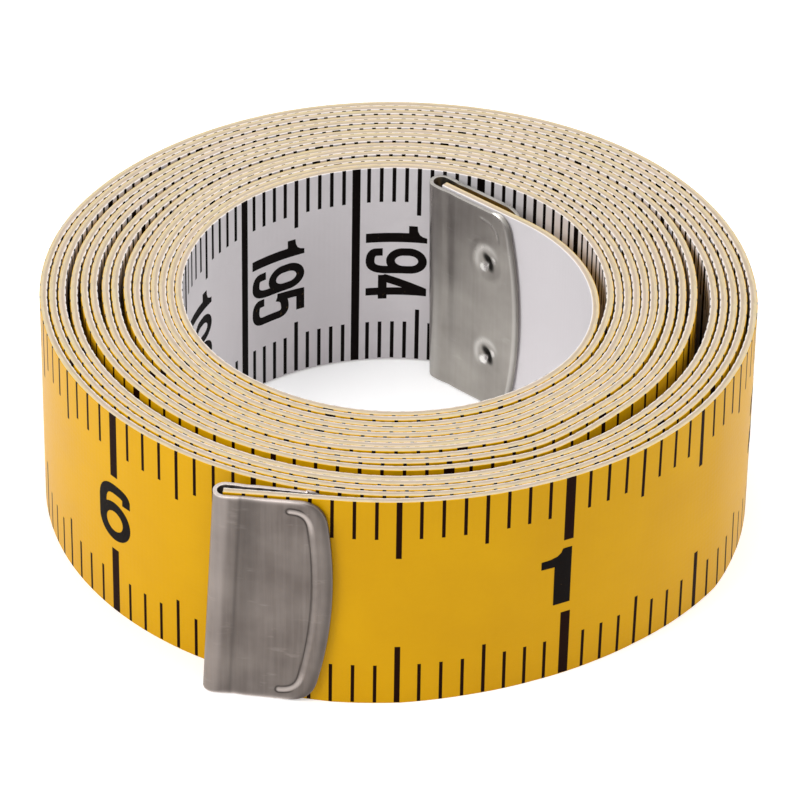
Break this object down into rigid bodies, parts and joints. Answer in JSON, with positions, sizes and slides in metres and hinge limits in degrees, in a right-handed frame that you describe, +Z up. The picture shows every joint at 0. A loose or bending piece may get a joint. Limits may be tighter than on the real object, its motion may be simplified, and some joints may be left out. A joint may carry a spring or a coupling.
{
  "type": "cloth tape measure",
  "caption": "Coated cloth tape measure wound into a round coil and lying on its edge, with folded metal clips on its ends.",
  "frame": {"origin": "centre of the coil's bounding box, on the surface that its edge lies on", "axes": "+Z up through the hole of the coil; -Y towards the side that the outer end lies against; +X to the right when that side is in front"},
  "size_m": [0.053, 0.052, 0.018],
  "materials": {
    "tape": "vinyl-coated glass-fibre cloth with a satin sheen, yellow on its outer face and white on its inner face, with black printed scales",
    "clip": "dull nickel-plated sheet steel, folded and crimped, with rubbed edges"
  },
  "bodies": {
    "coil": {"tape_coil": "tape"},
    "inner_end": {"tape_inner_end": "tape", "inner_end_clip": "clip"},
    "outer_end": {"tape_outer_end": "tape", "outer_end_clip": "clip"}
  },
  "joints": [
    {"name": "outer_end_lift", "type": "hinge", "parent": "coil", "child": "outer_end", "pos_m": [0.0063, -0.02447, 0.009], "axis": [0, 0, 1], "range_deg": [0, 60], "stiffness_Nm_per_rad": 0.004},
    {"name": "inner_end_swing", "type": "hinge", "parent": "coil", "child": "inner_end", "pos_m": [0.01086, -0.01055, 0.009], "axis": [0, 0, 1], "range_deg": [0, 45], "stiffness_Nm_per_rad": 0.004}
  ]
}
